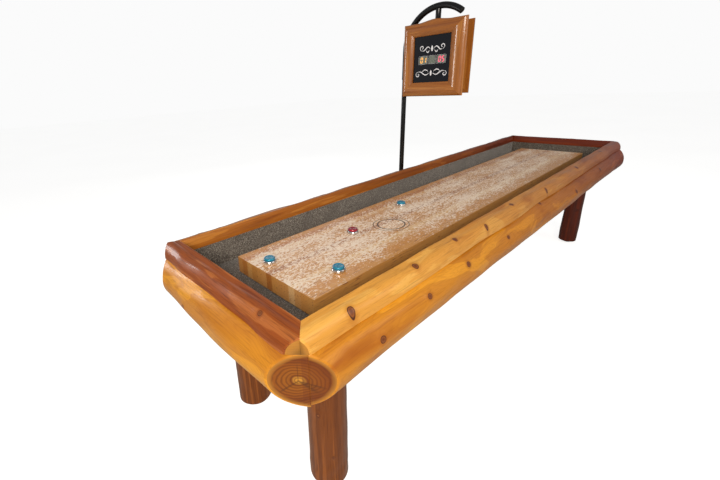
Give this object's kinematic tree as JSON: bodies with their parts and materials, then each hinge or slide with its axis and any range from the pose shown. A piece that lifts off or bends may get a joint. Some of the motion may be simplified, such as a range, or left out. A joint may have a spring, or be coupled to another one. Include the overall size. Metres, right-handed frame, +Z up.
{
  "type": "table shuffleboard",
  "caption": "Rustic table shuffleboard: laminated lane in carpeted gutters, half-log frame on log legs, sliding pucks and a two-sided scoreboard on a swivelling hooked pole.",
  "frame": {"origin": "on the floor, under the middle of the whole object's bounding box", "axes": "+X along the lane, towards the far end from the pucks, +Y towards the side with the scoreboard pole, +Z up"},
  "size_m": [3.9934, 1.096, 2.0268],
  "materials": {
    "log_pine": "peeled and varnished, gloss",
    "cap_pine": "planed, rounded and varnished, gloss",
    "lane_maple": "polymer finish, powdered",
    "board_pine": "sawn",
    "gutter_carpet": "short speckled pile",
    "black_steel": "gloss black",
    "zinc_steel": "zinc plated",
    "black_rubber": "satin",
    "chrome": "polished",
    "blue_cap": "metallic blue",
    "red_cap": "metallic crimson",
    "frame_pine": "rounded and varnished, high gloss",
    "case_board": "stained",
    "panel_navy": "gloss",
    "display_plastic": "grey filter"
  },
  "bodies": {
    "root": {"side_log_left": "log_pine", "side_log_right": "log_pine", "end_log_near": "log_pine", "end_log_far": "log_pine", "cap_rail_left": "cap_pine", "cap_rail_right": "cap_pine", "cap_rail_near": "cap_pine", "cap_rail_far": "cap_pine", "side_board_left": "board_pine", "side_board_right": "board_pine", "end_board_near": "board_pine", "end_board_far": "board_pine", "gutter_floor": "board_pine", "cross_rail_1": "board_pine", "cross_rail_2": "board_pine", "cross_rail_3": "board_pine", "cross_rail_4": "board_pine", "cross_rail_5": "board_pine", "gutter_carpet_left": "gutter_carpet", "gutter_carpet_right": "gutter_carpet", "gutter_carpet_near": "gutter_carpet", "gutter_carpet_far": "gutter_carpet", "playfield": "lane_maple", "leg_near_left": "log_pine", "leg_near_right": "log_pine", "leg_far_left": "log_pine", "leg_far_right": "log_pine", "leg_plate_near_left": "black_steel", "leg_plate_near_right": "black_steel", "leg_plate_far_left": "black_steel", "leg_plate_far_right": "black_steel", "post_socket": "black_steel", "post_strap": "black_steel", "score_post": "black_steel", "strap_screw_near": "zinc_steel", "strap_screw_far": "zinc_steel"},
    "leveler_near_left": {"leveler_near_left": "zinc_steel"},
    "leveler_near_right": {"leveler_near_right": "zinc_steel"},
    "leveler_far_left": {"leveler_far_left": "zinc_steel"},
    "leveler_far_right": {"leveler_far_right": "zinc_steel"},
    "puck_1": {"puck_1_weight": "chrome"},
    "puck_1_top": {"puck_1_cap": "blue_cap"},
    "puck_2": {"puck_2_weight": "chrome"},
    "puck_2_top": {"puck_2_cap": "blue_cap"},
    "puck_3": {"puck_3_weight": "chrome"},
    "puck_3_top": {"puck_3_cap": "red_cap"},
    "puck_4": {"puck_4_weight": "chrome"},
    "puck_4_top": {"puck_4_cap": "blue_cap"},
    "scoreboard_arm": {"hook_arm": "black_steel", "arm_end_plug": "black_rubber", "scoreboard_case": "case_board", "front_frame": "frame_pine", "rear_frame": "frame_pine", "front_panel": "panel_navy", "rear_panel": "panel_navy", "front_displays": "display_plastic", "rear_displays": "display_plastic", "hanger_bolt_left": "zinc_steel", "hanger_bolt_right": "zinc_steel"},
    "lock_screw": {"arm_lock_screw": "zinc_steel"}
  },
  "joints": [
    {"name": "leveler_near_left_travel", "type": "slide", "parent": "root", "child": "leveler_near_left", "axis": [0, 0, -1], "range_m": [0, 0.025]},
    {"name": "leveler_near_right_travel", "type": "slide", "parent": "root", "child": "leveler_near_right", "axis": [0, 0, -1], "range_m": [0, 0.025]},
    {"name": "leveler_far_left_travel", "type": "slide", "parent": "root", "child": "leveler_far_left", "axis": [0, 0, -1], "range_m": [0, 0.025]},
    {"name": "leveler_far_right_travel", "type": "slide", "parent": "root", "child": "leveler_far_right", "axis": [0, 0, -1], "range_m": [0, 0.025]},
    {"name": "puck_1_slide", "type": "slide", "parent": "root", "child": "puck_1", "axis": [1, 0, 0], "range_m": [-0.029, 0.366]},
    {"name": "puck_1_cap_turn", "type": "hinge", "parent": "puck_1", "child": "puck_1_top", "pos_m": [-1.6123, 0.0778, 0.8503], "axis": [0, 0, 1], "continuous": true},
    {"name": "puck_2_slide", "type": "slide", "parent": "root", "child": "puck_2", "axis": [1, 0, 0], "range_m": [-0.179, 3.111]},
    {"name": "puck_2_cap_turn", "type": "hinge", "parent": "puck_2", "child": "puck_2_top", "pos_m": [-1.4623, -0.1902, 0.8503], "axis": [0, 0, 1], "continuous": true},
    {"name": "puck_3_slide", "type": "slide", "parent": "root", "child": "puck_3", "axis": [1, 0, 0], "range_m": [-0.063, 2.772]},
    {"name": "puck_3_cap_turn", "type": "hinge", "parent": "puck_3", "child": "puck_3_top", "pos_m": [-1.1233, 0.0308, 0.8503], "axis": [0, 0, 1], "continuous": true},
    {"name": "puck_4_slide", "type": "slide", "parent": "root", "child": "puck_4", "axis": [1, 0, 0], "range_m": [-0.031, 2.254]},
    {"name": "puck_4_cap_turn", "type": "hinge", "parent": "puck_4", "child": "puck_4_top", "pos_m": [-0.6053, 0.0998, 0.8503], "axis": [0, 0, 1], "continuous": true},
    {"name": "arm_swivel", "type": "hinge", "parent": "root", "child": "scoreboard_arm", "pos_m": [0.0145, 0.52445, 1.7], "axis": [0, 0, 1], "range_deg": [-90, 90]},
    {"name": "lock_screw_turn", "type": "hinge", "parent": "scoreboard_arm", "child": "lock_screw", "pos_m": [0.0445, 0.52445, 1.61], "axis": [1, 0, 0], "continuous": true}
  ]
}
